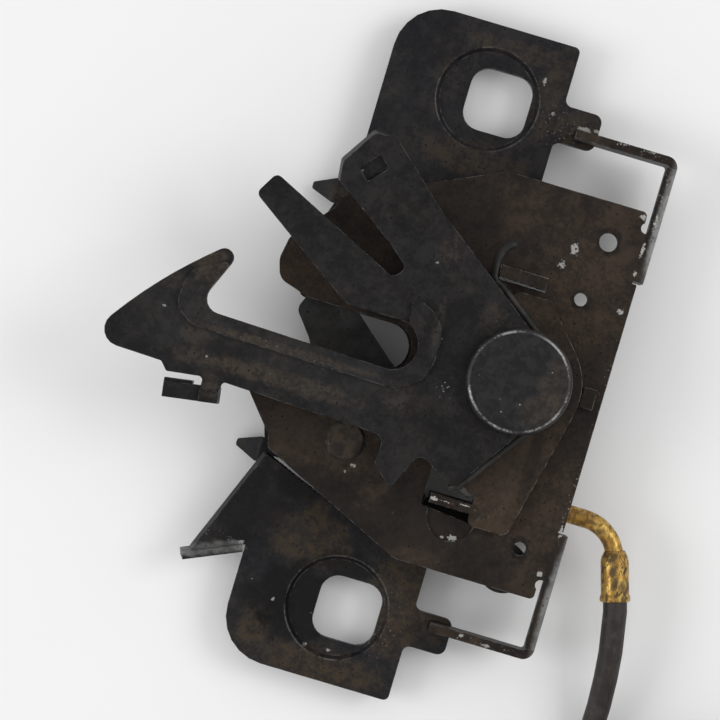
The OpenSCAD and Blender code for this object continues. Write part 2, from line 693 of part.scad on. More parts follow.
module claw_pivot_rivet() {
    head_t = 0.6;
    tail_t = 2;
    profile = [
        [0, back_z - tail_t], [claw_head_d / 2, back_z - tail_t], [claw_head_d / 2 + 0.6, back_z],
        [claw_pin_d / 2, back_z], [claw_pin_d / 2, front_top], [claw_head_d / 2, front_top],
        [claw_head_d / 2 - head_t, front_top + head_t], [0, front_top + head_t]
    ];
    color("#403a34") translate(claw_pivot) rotate_extrude() polygon(profile);
}

module claw_bush() {
    color("#6b655c") sleeve(claw_pivot, claw_bush_d, claw_pin_d + 2 * run_fit, back_top, plate_gap);
}

module claw() {
    color("#3a3734") difference() {
        union() {
            sheet(claw_corners, claw_z, claw_t);
            bore(claw_pivot, claw_hub_d, claw_z, claw_t);
        }
        bore(claw_pivot, claw_bush_d + 2 * run_fit, claw_z - fuse, claw_t + 2 * fuse);
        bore(peg_at, peg_d, claw_top - claw_t / 2, claw_t);
    }
}

module claw_peg() {
    color("#6b655c") bore(peg_at, peg_d, claw_top - claw_t / 2, claw_t / 2 + side_gap + 2 * claw_wire_d);
}

module claw_spring() {
    start = polar(claw_pivot, claw_coil_r, claw_coil_start);
    leg_tip = polar(start, claw_leg_len, claw_leg_angle);
    stop = polar(claw_pivot, claw_coil_r, claw_coil_start + claw_coil_sweep);
    top_z = claw_coil_z + claw_coil_rise;
    lean_tip = polar(stop, pivot_span, fixed_leg_angle);
    route = concat(
        [[leg_tip[0], leg_tip[1], claw_coil_z]],
        coil_turns(claw_pivot, claw_coil_r, claw_coil_start, claw_coil_sweep, claw_coil_z, claw_coil_rise, 44),
        [[lean_tip[0], lean_tip[1], top_z]]
    );
    color("#4c4843") swept(route, claw_wire_d, wire_sides);
}

module safety_lever() {
    lever_mid = lever_z + lever_t / 2;
    color("#2b2b30") difference() {
        union() {
            sheet(lever_corners, lever_z, lever_t);
            sheet(rim_corners, lever_top - fuse, rim_h + fuse);
            difference() {
                bent_sheet(finger_root, finger_top, lever_mid, lever_t, finger_bend, finger_corners);
                translate([finger_root[0], finger_root[1], lever_mid])
                    rotate([0, 0, atan2(finger_line[1], finger_line[0])])
                    rotate([finger_bend, 0, 0])
                    sheet(finger_window, lever_t / 2 - finger_recess, lever_t);
            }
            knuckle(finger_root, finger_top, lever_mid, lever_t);
            translate([stem_x[1], stem_y, lever_top])
                rotate([0, 0, 180 + push_tab_turn])
                push_tab();
        }
        bore(main_pivot, bush_d + 2 * run_fit, lever_z - fuse, lever_t + 2 * fuse);
    }
}

// Tab turned back from the lever's stem: full height at the stem, lower beyond it
module push_tab() {
    stem_w = stem_x[1] - stem_x[0];
    step = 2;
    profile = [
        [0, -0.3], [0, -push_tab_h], [push_tab_len, -push_tab_h],
        [push_tab_len, -step], [stem_w, -step], [stem_w, -0.3]
    ];
    pad_len = push_tab_len / 2;
    pad_t = 0.7;
    translate([0, push_tab_t, 0])
        rotate([90, 0, 0])
        linear_extrude(push_tab_t + 1) polygon(profile);
    translate([push_tab_len - pad_len, -1 - pad_t, -push_tab_h])
        cube([pad_len, push_tab_t, push_tab_h - step - 0.6]);
}

module lever_spring() {
    lower_z = upper_leg_z + coil_height - wire_d;
    lower_root = polar(main_pivot, coil_r, coil_start);
    lower_tip = polar(lower_root, lower_leg_len, lower_leg_angle);
    upper_root = polar(main_pivot, coil_r, coil_start + coil_sweep);
    hook_x = tongue_end - wire_d / 2 - 0.15;
    upper_bend = polar(upper_root, upper_leg_len, upper_leg_angle);
    hook = [
        [upper_bend[0], upper_bend[1]], [hook_x + 0.9, tongue_y - 1.25], [hook_x + 0.2, tongue_y - 0.3],
        [hook_x, tongue_y + 1], [hook_x - 0.2, tongue_y + 3.4], [hook_x + 0.3, tongue_y + 5.4],
        [hook_x + 1.4, tongue_y + 6.7], [hook_x + 2.6, tongue_y + 7.3]
    ];
    route = concat(
        [[lower_tip[0] - 1.8, lower_tip[1] - 0.9, lower_z], [lower_tip[0], lower_tip[1], lower_z]],
        coil_turns(main_pivot, coil_r, coil_start, coil_sweep, lower_z, upper_leg_z - lower_z, 40),
        [for (p = hook) [p[0], p[1], upper_leg_z]]
    );
    color("#3a3a3e") swept(route, wire_d, wire_sides);
}

module pawl() {
    tooth_y = -28;
    tooth_root = 18.6;
    ear_w = 6.4;
    color("#4a4138") difference() {
        union() {
            sheet(pawl_corners, pawl_z, pawl_t);
            translate([tooth_end, tooth_y, claw_z])
                cube([tooth_root - tooth_end, tooth_t, pawl_top - claw_z]);
            translate([ear_face, cable_y - ear_w / 2, claw_z])
                cube([tooth_t, ear_w, pawl_z - claw_z + fuse]);
        }
        bore(main_pivot, bush_d + 2 * run_fit, pawl_z - fuse, pawl_t + 2 * fuse);
        translate([ear_face - fuse, cable_y, cable_z])
            rotate([0, 90, 0])
            cylinder(d = core_d + 4 * run_fit, h = tooth_t + 2 * fuse);
    }
}

module stop_buffer() {
    color("#151515") union() {
        bore(stop_at, stop_d, front_z - stop_h, stop_h);
        bore(stop_at, stop_d / 2, front_z - fuse, front_t / 2 + fuse);
    }
}

module cable_nipple() {
    color("#8d8778") difference() {
        translate([ear_face - nipple_d / 2, cable_y, cable_z - nipple_d / 2])
            cylinder(d = nipple_d, h = nipple_d);
        translate([ear_face - nipple_d / 2, cable_y, cable_z])
            rotate([0, 90, 0])
            cylinder(d = core_d, h = nipple_d);
    }
}

module cable_core() {
    core_end = elbow_from + 6;
    color("#8a8a88") translate([ear_face - nipple_d / 2, cable_y, cable_z])
        rotate([0, 90, 0])
        cylinder(d = core_d, h = core_end - ear_face + nipple_d / 2);
}

// Tube through the lug with a collar outside it and a flared end inside, bent towards the sheath
module cable_elbow() {
    collar_d = elbow_d + 2.6;
    collar_t = 1.2;
    flare_d = collar_d - 1;
    flare_t = 1;
    straight = elbow_straight - elbow_from;
    color("#c9a640") union() {
        translate([elbow_from, cable_y, cable_z])
            rotate([0, 90, 0])
            difference() {
                union() {
                    cylinder(d = elbow_d, h = straight);
                    translate([0, 0, lug_face - elbow_from]) cylinder(d = collar_d, h = collar_t);
                    translate([0, 0, lug_face - back_t - flare_t - elbow_from]) cylinder(d = flare_d, h = flare_t);
                }
                translate([0, 0, -fuse]) cylinder(d = elbow_bore, h = straight - 1);
            }
        swept(elbow_route, elbow_d - 2 * run_fit, 20);
    }
}

// Sleeve crimped over the tube's end and the sheath, with a sloped shoulder and a flared mouth
module crimp_sleeve() {
    r = sleeve_d / 2;
    half = sleeve_len / 2;
    flare = 0.25;
    profile = [
        [elbow_d / 2, -sleeve_over], [r - 0.8, -sleeve_over],
        [r - 0.2, -sleeve_over + 1.2], [r, -sleeve_over + 2.2],
        [r, sleeve_len - 1.6], [r + flare, sleeve_len - 0.9], [r + flare, sleeve_len - 0.2], [r, sleeve_len],
        [0, sleeve_len], [0, half], [elbow_d / 2, half]
    ];
    color("#b98f36") translate([elbow_exit[0], elbow_exit[1], cable_z])
        rotate([0, 90, -elbow_turn])
        rotate_extrude() polygon(profile);
}

module cable_sheath() {
    color("#202024") swept(lead_route, sheath_d, sheath_sides);
}

// Outer shape of the wound turns
module cable_coil() {
    color("#202024") translate([coil_centre[0], coil_centre[1], coil_mid])
        rotate_extrude()
        translate([cable_coil_d / 2, 0]) circle(d = bundle_d, $fn = 24);
}

module coil_tie() {
    color("#101010") translate([coil_centre[0], coil_centre[1] - cable_coil_d / 2, coil_mid])
        rotate([0, 90, 0])
        translate([0, 0, -tie_w / 2])
        difference() {
            cylinder(d = bundle_d + 2 * tie_t, h = tie_w);
            translate([0, 0, -fuse]) cylinder(d = bundle_d - 2 * fuse, h = tie_w + 2 * fuse);
        }
}

module cable_tail() {
    color("#202024") swept(tail_route, sheath_d, sheath_sides);
}

module end_ferrule() {
    r = ferrule_d / 2;
    profile = [
        [0, 0], [r - 0.4, 0], [r, 0.4], [r, ferrule_len - 4], [r - 1, ferrule_len - 3.4],
        [r - 1, ferrule_len - 0.4], [r - 1.4, ferrule_len], [0, ferrule_len]
    ];
    color("#b98f36") translate(tail_tip) rotate([-90, 0, 0]) rotate_extrude() polygon(profile);
}

module end_core() {
    color("#8a8a88") translate(tail_tip + [0, ferrule_len, 0])
        rotate([-90, 0, 0])
        cylinder(d = core_d, h = end_core_len);
}

module end_nipple() {
    color("#8d8778") translate(tail_tip + [-end_nipple_len / 2, ferrule_len + end_core_len + nipple_d / 2, 0])
        rotate([0, 90, 0])
        cylinder(d = nipple_d, h = end_nipple_len);
}

back_plate();
front_plate();
main_pivot_rivet();
pivot_spacer();
pivot_bush();
claw_pivot_rivet();
claw_bush();
claw();
claw_peg();
claw_spring();
safety_lever();
lever_spring();
pawl();
stop_buffer();
cable_nipple();
cable_core();
cable_elbow();
crimp_sleeve();
cable_sheath();
cable_coil();
coil_tie();
cable_tail();
end_ferrule();
end_core();
end_nipple();
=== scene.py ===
import math
import bmesh
import bpy
from mathutils import Matrix, Vector


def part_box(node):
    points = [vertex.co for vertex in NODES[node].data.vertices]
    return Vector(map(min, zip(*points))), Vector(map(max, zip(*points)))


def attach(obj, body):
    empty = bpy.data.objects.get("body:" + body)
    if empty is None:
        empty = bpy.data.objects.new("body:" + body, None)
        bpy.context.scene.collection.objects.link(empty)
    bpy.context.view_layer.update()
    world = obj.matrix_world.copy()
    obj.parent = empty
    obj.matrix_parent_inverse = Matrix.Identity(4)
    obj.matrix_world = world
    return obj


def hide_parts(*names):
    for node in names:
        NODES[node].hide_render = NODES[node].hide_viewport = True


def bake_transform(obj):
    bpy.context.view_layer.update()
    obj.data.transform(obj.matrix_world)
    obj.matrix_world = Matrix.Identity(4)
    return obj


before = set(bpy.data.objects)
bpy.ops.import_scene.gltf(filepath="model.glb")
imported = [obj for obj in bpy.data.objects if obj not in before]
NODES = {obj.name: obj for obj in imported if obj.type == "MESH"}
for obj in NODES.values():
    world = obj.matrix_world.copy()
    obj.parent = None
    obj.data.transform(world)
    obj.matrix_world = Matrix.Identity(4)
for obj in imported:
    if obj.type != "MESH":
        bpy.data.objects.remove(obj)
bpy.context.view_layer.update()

# Lengths and places are in millimetres, in the latch's own frame
MM = 0.001

# Camera: above the latch, turned with the photograph
CAMERA_AT = (-12.3, -4.35, 603.2)
CAMERA_TURN = 16.55
CAMERA_LENS = 144.6
CAMERA_NEAR = 10
SENSOR = 36

# Light: an even white room, and softboxes as (name, place, power)
ROOM_LIGHT = 0.7
SOFTBOX_SIZE = 500
SOFTBOXES = [("left_softbox", (-750, -250, 600), 3.0), ("right_softbox", (700, 350, 700), 3.1)]

# Axes of the two rivets, and the bright rim of the big head, painted in bare colour, partly rubbed metal and
# partly a painted highlight of the lit rim: where it comes and goes, and its height
HEAD_AT = (19.4, 0.5)
CLAW_PIN_AT = (-10.5, -20.9)
RIM_INNER = (9.7, 9.95)
RIM_OUTER = (10.1, 10.4)
RIM_Z = (20, 22)

# Seats round the ear holes, and half the width of the light ring on each, partly worn metal and partly a
# painted highlight of the seat's edge
SEAT_SHIFT = 2.3
SEAT_Y = 55
SEAT_R = 10.8
RING_HALF = 0.3

# Noise sizes for patch outlines, with the reach up to which each is used
RAGGED_SIZES = [(0.5, 1), (1.6, 3.5), (4, 100)]
# Share of a patch's softness that lies outside its reach
OUTER_SOFT = 0.4

# Ways along which a seed moves a noise and a scatter of points
GRAIN_SHIFT = (1, 1.7, 0.6)
FLAKE_SHIFT = (1, -1, 0.4)

# Edges: rays for a rounded normal, and how far it turns from the flat one (1 - cosine) as wear comes in
BEVEL_SAMPLES = 4
EDGE_TURN = (0.01, 0.16)

# Sockets of a Mix node that mixes colours
MIX_SHARE = 0
MIX_BELOW = 6
MIX_ABOVE = 7
MIX_RESULT = 2

# Tones that several coats share
OILY = (0.0045, 0.0042, 0.0045)
PIT = (0.003, 0.0028, 0.0026)

# Yellow plating: clear and deep tone, and soil in the sleeve's crimp and along the elbow, as patches
SLEEVE_TONES = ((0.5, 0.32, 0.075), (0.33, 0.18, 0.035))
SLEEVE_SOIL = [
    ((49.1, -28.5), (0.9, 1.4), 0.95), ((49.9, -31.1), (0.9, 1.6), 0.95),
    ((50.8, -33.4), (0.8, 1.6), 0.95), ((52.4, -33.6), (0.8, 1.2), 0.7),
]
ELBOW_TONES = ((0.54, 0.35, 0.085), (0.36, 0.2, 0.038))
ELBOW_SOIL = [
    ((40.3, -21.7), (1.6, 0.4), 0.8), ((43.1, -22.8), (1.3, 0.5), 0.8),
    ((45, -24.2), (0.8, 0.8), 0.8), ((46.7, -26.4), (0.6, 1.2), 0.7),
]

# Table, and the cable's own route
TABLE_Z = -3.6
TABLE_HALF = 3000
SHEATH_D = 5
SHEATH_ROUNDING = 5
CABLE_Z = 7.2
LAY_Z = TABLE_Z + SHEATH_D / 2
TAIL_LIFT = 3.3
TAIL_Z = TABLE_Z + TAIL_LIFT
SLEEVE_END = (52.26, -37.12)
EXIT_DIR = (0.292, -0.956)
EXIT_STRAIGHT = 2
COIL_CENTRE = (80, -98)
COIL_D = 55
COIL_RUNS = 8
COIL_STEPS = 60
COIL_SLACK = 0.05
LEAD_ROUTE = [
    (53.5, -42.5, 6.8), (54.5, -47.5, 5.8), (55.2, -53, 4.4), (55.7, -59, 2.6), (55.8, -65, 1),
    (55.4, -71, -0.2), (54.7, -77, LAY_Z + 0.3), (53.8, -83, LAY_Z), (53, -89, LAY_Z), (52.6, -95, LAY_Z),
]
TAIL_ROUTE = [
    (107.5, -93, TAIL_Z), (107.6, -88, TAIL_Z), (107.7, -84, TAIL_Z),
    (107.8, -78, TAIL_Z), (107.9, -72, TAIL_Z), (108, -66, TAIL_Z),
]

# Inner wire: strands round a middle one, the length of one turn, and the wire's width in strand radii
STRANDS = 6
STRAND_LAY = 9
STRAND_SIDES = 8
HELIX_STEPS = 16
WIRE_WIDTH = 6

# Two points on each piece between the frame and a lever, meant as where it leaves the frame and where it
# follows its lever; the script only turns them into metres
PULL_WIRE_ENDS = [(31.5, -22.5, 7.2), (25.5, -22.5, 7.2)]
LEVER_SPRING_ENDS = [(19.4, 10, 18), (19.4, -10, 18)]
CLAW_SPRING_ENDS = [(-4, -18, 8.5), (-15, -18, 8.5)]

# Smooth copies of round nodes: points closer than this are merged, and steeper edges in degrees stay sharp
MERGE_WITHIN = 0.001
SHARP_ANGLE = 38


def metres(point):
    return tuple(c * MM for c in point)


def placed(name, data):
    """A new object in the scene."""
    piece = bpy.data.objects.new(name, data)
    bpy.context.scene.collection.objects.link(piece)
    return piece


class Wire:
    """A value socket that takes part in arithmetic."""

    def __init__(self, maker, socket):
        self.maker = maker
        self.socket = socket

    def maths(self, operation, other, swapped=False):
        """Result of a Math node on this value and another."""
        first, second = (other, self) if swapped else (self, other)
        node = self.maker.add("ShaderNodeMath", {"operation": operation}, {0: first, 1: second})
        return Wire(self.maker, node.outputs[0])

    def __add__(self, other):
        return self.maths("ADD", other)

    def __sub__(self, other):
        return self.maths("SUBTRACT", other)

    def __mul__(self, other):
        return self.maths("MULTIPLY", other)

    def __truediv__(self, other):
        return self.maths("DIVIDE", other)

    def __radd__(self, other):
        return self.maths("ADD", other, True)

    def __rsub__(self, other):
        return self.maths("SUBTRACT", other, True)

    def __rmul__(self, other):
        return self.maths("MULTIPLY", other, True)

    def at_least(self, other):
        """The larger of the two."""
        return self.maths("MAXIMUM", other)


class NodeMaker:
    """Makes the nodes of one tree."""

    def __init__(self, tree):
        self.tree = tree

    def add(self, kind, settings=None, inputs=None):
        """A new node: its settings first, then a value, a socket or a wire for each input."""
        node = self.tree.nodes.new(kind)
        for key, value in (settings or {}).items():
            setattr(node, key, value)
        for key, value in (inputs or {}).items():
            self.feed(node.inputs[key], value)
        return node

    def feed(self, socket, value):
        """Link a wire or a socket to an input, or set its value."""
        if isinstance(value, Wire):
            value = value.socket
        if isinstance(value, bpy.types.NodeSocket):
            self.tree.links.new(value, socket)
        elif socket.type == "RGBA":
            socket.default_value = (*value, 1)
        else:
            socket.default_value = value


class Finish(NodeMaker):
    """One procedural material on the place in the latch's own frame."""

    def __init__(self, name, specular=0.3):
        self.material = bpy.data.materials.new(name)
        self.material.use_nodes = True
        super().__init__(self.material.node_tree)
        self.tree.nodes.clear()
        self.shader = self.add("ShaderNodeBsdfPrincipled", {}, {"Specular IOR Level": specular})
        self.add("ShaderNodeOutputMaterial", {}, {"Surface": self.shader.outputs[0]})
        self.coords = self.add("ShaderNodeTexCoord")
        self.place = self.vector("MULTIPLY", self.coords.outputs["Object"], (1 / MM,) * 3)
        self.shared = {}

    def once(self, key, make):
        """A part of the tree that is made at its first use and shared after that."""
        if key not in self.shared:
            self.shared[key] = make()
        return self.shared[key]

    def vector(self, operation, first, second=(0, 0, 0)):
        """Result of vector maths: a number for a length or a dot product, else a vector."""
        node = self.add("ShaderNodeVectorMath", {"operation": operation}, {0: first, 1: second})
        return node.outputs["Value" if operation in ("LENGTH", "DOT_PRODUCT") else "Vector"]

    def component(self, vector, axis):
        """X, Y or Z of a vector."""
        return Wire(self, self.add("ShaderNodeSeparateXYZ", {}, {0: vector}).outputs[axis])

    def mapped(self, scale, shift, turn=0):
        """The place scaled, turned in plan by that many degrees and moved."""
        node = self.add("ShaderNodeMapping", {}, {
            "Vector": self.place, "Scale": scale, "Location": shift, "Rotation": (0, 0, math.radians(turn)),
        })
        return node.outputs[0]

    def grain(self, size, detail=3, rough=0.55, stretch=(1, 1, 1), seed=0, turn=0):
        """Noise from 0 to 1 with features of that size."""
        scale = [s / size for s in stretch]
        shift = [seed * s for s in GRAIN_SHIFT]
        noise = self.add("ShaderNodeTexNoise", {}, {
            "Vector": self.mapped(scale, shift, turn), "Scale": 1, "Detail": detail, "Roughness": rough,
        })
        return Wire(self, noise.outputs["Fac"])

    def flakes(self, size, seed=0):
        """Distance to scattered points, in parts of their spacing."""
        shift = [seed * s for s in FLAKE_SHIFT]
        cells = self.add("ShaderNodeTexVoronoi", {"feature": "F1"}, {
            "Vector": self.mapped((1 / size,) * 3, shift), "Scale": 1,
        })
        return Wire(self, cells.outputs["Distance"])

    def pocks(self, size, low, high, seed=0):
        """1 at scattered points, fading from low to high in parts of their spacing."""
        return 1 - self.ease(self.flakes(size, seed), low, high)

    def ease(self, value, low, high):
        """0 below low and 1 above high, smoothly between."""
        node = self.add("ShaderNodeMapRange", {"interpolation_type": "SMOOTHSTEP", "clamp": True}, {
            "Value": value, "From Min": low, "From Max": high, "To Min": 0.0, "To Max": 1.0,
        })
        return Wire(self, node.outputs[0])

    def upward(self, low=0.3, high=0.9):
        """1 on faces that look along +Z, from low to high of the normal's Z."""
        return self.ease(self.component(self.coords.outputs["Normal"], "Z"), low, high)

    def ragged(self, reach):
        """Noise about 0 for the outline of a patch of that reach."""
        size = next(size for size, most in RAGGED_SIZES if min(reach) < most)
        return self.once(("ragged", size), lambda: self.grain(size, 4, seed=size) - 0.5)

    def distance(self, at, reach=(1, 1)):
        """Distance in plan from a point, in parts of a reach along x and y."""
        moved = self.vector("SUBTRACT", self.place, (*at, 0))
        sized = self.vector("MULTIPLY", moved, (1 / reach[0], 1 / reach[1], 0))
        return Wire(self, self.vector("LENGTH", sized))

    def spots(self, places, soft, wobble):
        """Ragged patches in plan, each ((x, y), (reach x, reach y), strength); the strongest counts."""
        total = None
        for at, reach, strength in places:
            outline = self.distance(at, reach) + self.ragged(reach) * (2 * wobble)
            patch = (1 - self.ease(outline, 1 - soft, 1 + soft * OUTER_SOFT)) * strength
            total = patch if total is None else total.at_least(patch)
        return total

    def band(self, at, inner, outer):
        """1 on a ring in plan that comes over the inner radii and goes over the outer ones."""
        reach = self.distance(at)
        return self.ease(reach, *inner) * (1 - self.ease(reach, *outer))

    def rounded(self, radius):
        """Normal with edges rounded by that radius."""
        def bevel():
            node = self.add("ShaderNodeBevel", {"samples": BEVEL_SAMPLES}, {"Radius": radius * MM})
            return node.outputs[0]

        return self.once(("rounded", radius), bevel)

    def edges(self, radius):
        """1 on sharp edges, 0 on flat faces."""
        flat = self.add("ShaderNodeNewGeometry").outputs["Normal"]
        turn = 1 - Wire(self, self.vector("DOT_PRODUCT", self.rounded(radius), flat))
        return self.ease(turn, *EDGE_TURN)

    def blend(self, below, above, share):
        """Colour above over colour below."""
        node = self.add("ShaderNodeMix", {"data_type": "RGBA", "clamp_factor": True}, {
            MIX_SHARE: share, MIX_BELOW: below, MIX_ABOVE: above,
        })
        return node.outputs[MIX_RESULT]

    def shade(self, colour, rough, metal=0.0):
        """Colour, roughness and metal of the surface."""
        for name, value in (("Base Color", colour), ("Roughness", rough), ("Metallic", metal)):
            self.feed(self.shader.inputs[name], value)

    def bump(self, height, depth, radius=0.3, strength=0.6):
        """Relief of that depth over edges rounded by that radius."""
        node = self.add("ShaderNodeBump", {}, {
            "Height": height, "Distance": depth * MM, "Strength": strength, "Normal": self.rounded(radius),
        })
        self.feed(self.shader.inputs["Normal"], node.outputs[0])


def coated_sheet(name, tones, places, film, edge_share=0.45):
    """Pressed sheet with a dark coat.

    Places are patches of dust, oil, grey (rubbed smooth), flakes and dots,
    and rings as ((x, y), radius, strength): light rings in bare colour, partly worn metal and partly a
    painted highlight of the seat's edge.
    """
    f = Finish(name, specular=0.13)
    # Mottled coat
    cloud = f.grain(14, 5, 0.65)
    mottle = f.grain(2.6, 6, 0.72, seed=31)
    fine = f.grain(0.8, 5, 0.72, seed=5)
    top = f.upward()
    mixed = cloud * 0.35 + mottle * 0.4 + fine * 0.25
    colour = f.blend(tones["coat"], tones["dull"], f.ease(mixed, 0.42, 0.58))
    blotch = f.ease(mottle, 0.44, 0.6)
    grit = f.ease(fine, 0.45, 0.62)
    # Dust: a thin film all over, and patches
    haze = f.ease(f.grain(8, 6, 0.7, seed=9), 0.45, 0.66) * (0.35 + 0.65 * blotch)
    settled = f.spots(places["dust"], 0.5, 0.6) * (0.2 + 0.45 * blotch + 0.35 * grit)
    dusty = (haze * film * top).at_least(settled * top)
    colour = f.blend(colour, tones["dust"], dusty)
    # Oil, places rubbed smooth, and pits
    colour = f.blend(colour, OILY, f.spots(places["oil"], 0.35, 0.7) * (0.75 + 0.25 * blotch))
    rubbed = f.spots(places["grey"], 0.5, 0.3) * (0.6 + 0.4 * blotch) * f.upward(-0.6, -0.3)
    colour = f.blend(colour, tones["grey"], rubbed)
    pits = f.pocks(1.7, 0.1, 0.18, 4) * f.ease(mottle, 0.44, 0.54)
    colour = f.blend(colour, PIT, pits * 0.75)
    # Bare metal: edges, specks, flakes and crumbs; and the rings on the seats, partly worn metal and partly a
    # painted highlight
    wear_and_highlight = f.edges(0.3) * f.ease(f.grain(2.4, 5, 0.7, seed=11), 0.46, 0.6) * edge_share
    speck = f.pocks(4.2, 0.025, 0.045) * f.ease(f.grain(9, 3, seed=14), 0.5, 0.6)
    wear_and_highlight = wear_and_highlight.at_least(speck * top * 0.5)
    exposed = top.at_least(0.2)
    ragged = f.grain(0.45, 4, 0.7, seed=23) - 0.5
    flaked = f.ease(f.spots(places["flakes"], 0.6, 0.9) + ragged * 1.6, 0.35, 0.6)
    wear_and_highlight = wear_and_highlight.at_least(flaked * 0.85 * exposed)
    crumbs = 1 - f.ease(f.flakes(0.75, 7) + ragged * 0.9, 0.1, 0.24)
    wear_and_highlight = wear_and_highlight.at_least(f.spots(places["dots"], 0.7, 0.6) * crumbs * exposed)
    patchy = f.ease(f.grain(6, 5, 0.7, seed=17) * 0.6 + fine * 0.4, 0.46, 0.6)
    # Seat rings: light arcs in bare colour, partly worn metal and partly a painted highlight of the seat's
    # edge
    for at, radius, strength in places.get("rings", []):
        ring = f.band(at, (radius - RING_HALF, radius), (radius, radius + RING_HALF))
        wear_and_highlight = wear_and_highlight.at_least(ring * patchy * top * strength)
    rough = 0.42 + 0.3 * dusty - 0.1 * wear_and_highlight + 0.25 * (mottle - 0.5)
    f.shade(f.blend(colour, tones["bare_and_highlight"], wear_and_highlight), rough, wear_and_highlight * 0.5)
    f.bump(fine * 0.8 + mottle * 1.2 + 2 * grit * dusty - 2 * pits + wear_and_highlight, 0.07)
    return f.material


def lever_coat():
    """Black lever: brown dust along the arm, on the hook's tip and beside the rivet."""
    tones = {
        "coat": (0.0076, 0.0072, 0.0078), "dull": (0.0178, 0.0165, 0.0168), "dust": (0.07, 0.052, 0.036),
        "grey": (0.035, 0.033, 0.032), "bare_and_highlight": (0.24, 0.24, 0.24),
    }
    places = {
        "dust": [
            ((-27, -6.6), (19, 1.1), 0.9), ((-27, -12.6), (19, 2.2), 0.75),
            ((-46.2, 5.2), (3.4, 4.2), 0.9), ((-45, -8.5), (4, 2.5), 0.5), ((-55, 0.5), (6, 2), 0.4),
            ((-1, 22), (3, 3.4), 0.4), ((11, 11), (3, 4.4), 0.4), ((-2, -10), (6, 4), 0.3),
            ((-45, -13), (5, 2), 0.5), ((-39.5, -18), (2, 3), 0.6), ((0.5, 7), (1, 5), 0.4),
        ],
        "oil": [
            ((-38, -10), (7, 1.6), 0.5), ((-58, -7), (3, 3), 0.3), ((4, -12), (6, 4), 0.4),
            ((7, 4), (9, 10), 0.25),
        ],
        "grey": [
            ((1.2, 4.7), (0.8, 6), 0.6), ((-42.5, -5.2), (4, 0.7), 0.6), ((-50, -5), (13, 10), 0.28),
            ((-20, -9), (20, 6), 0.3),
        ],
        "flakes": [
            ((-53, -5), (0.4, 0.3), 0.8), ((-42, -12.4), (0.3, 0.3), 0.8), ((-3, 18.8), (0.4, 0.4), 0.7),
            ((-22.5, 32), (0.4, 0.3), 0.6),
        ],
        "dots": [
            ((5.6, -4.7), (2.1, 2.2), 0.9), ((-33, -6.4), (5, 0.7), 0.45), ((-22, -7.4), (7, 0.8), 0.3),
        ],
    }
    return coated_sheet("lever_coat", tones, places, film=0.15, edge_share=0.6)


def back_plate_coat():
    """Back plate: cool dark ear and wing, dusty brown ear below with an oily patch round its seat."""
    tones = {
        "coat": (0.008, 0.008, 0.0098), "dull": (0.0175, 0.017, 0.0185), "dust": (0.06, 0.042, 0.0255),
        "grey": (0.36, 0.36, 0.35), "bare_and_highlight": (0.3, 0.3, 0.29),
    }
    places = {
        "dust": [
            ((9.6, 58), (4, 10), 0.6), ((-3, 42.5), (13, 4), 0.65), ((10, -50), (8, 15), 0.95),
            ((-4, -67.5), (17, 4.4), 0.95), ((-10.5, -43.5), (9, 6.5), 0.95), ((18, 54), (8, 4), 0.7),
            ((18, -53), (8, 4), 0.7), ((-17.5, -64), (4.4, 7), 0.9), ((-11.6, -38), (3.4, 4), 0.95),
            ((-16.8, -44.6), (3, 3.8), 0.95), ((-26, 26), (3, 5), 0.5), ((-30, -33), (3, 3), 0.4),
            ((2, 66.5), (15, 2.2), 0.6),
        ],
        "oil": [
            ((-11.5, -56), (10, 9.5), 1), ((-3, -46), (7, 3.2), 0.8), ((0, 55), (9.4, 9.4), 0.35),
            ((-25, -41), (8, 9), 0.5), ((-17, -33), (6, 3), 0.6),
        ],
        "grey": [
            ((-35.4, -52.4), (2.6, 1.1), 0.45), ((-33, -51.4), (3, 1.2), 0.3),
            ((-30.6, -50.4), (3, 1.2), 0.28), ((-28.2, -49.4), (3, 1.2), 0.28),
            ((-26, -48.5), (2.4, 1.1), 0.4),
        ],
        "flakes": [
            ((-6.5, -64.2), (0.5, 0.4), 0.9), ((-1.5, -64), (0.5, 0.4), 0.9),
            ((-15.5, -57), (0.4, 0.4), 0.9), ((18.6, 54.6), (1.6, 0.7), 0.8), ((21.5, 55), (1, 0.5), 0.7),
            ((11.6, 56), (0.6, 0.5), 0.6), ((18.8, -53), (1.8, 0.7), 0.45), ((-36.4, -51.4), (1, 0.9), 1),
            ((-25.2, -47.6), (0.7, 0.6), 1), ((8, 62), (0.4, 1), 0.7),
        ],
        "dots": [((14, 54), (5, 5), 0.4), ((8, -56), (4, 9), 0.4), ((-30.5, -47.4), (6, 1.4), 0.35)],
        # Light rings on the seats: partly worn metal, partly a painted highlight of the seat's edge
        "rings": [((-SEAT_SHIFT, SEAT_Y), SEAT_R, 0.3), ((-SEAT_SHIFT, -SEAT_Y), SEAT_R, 0.35)],
    }
    return coated_sheet("back_plate_coat", tones, places, film=0.3)


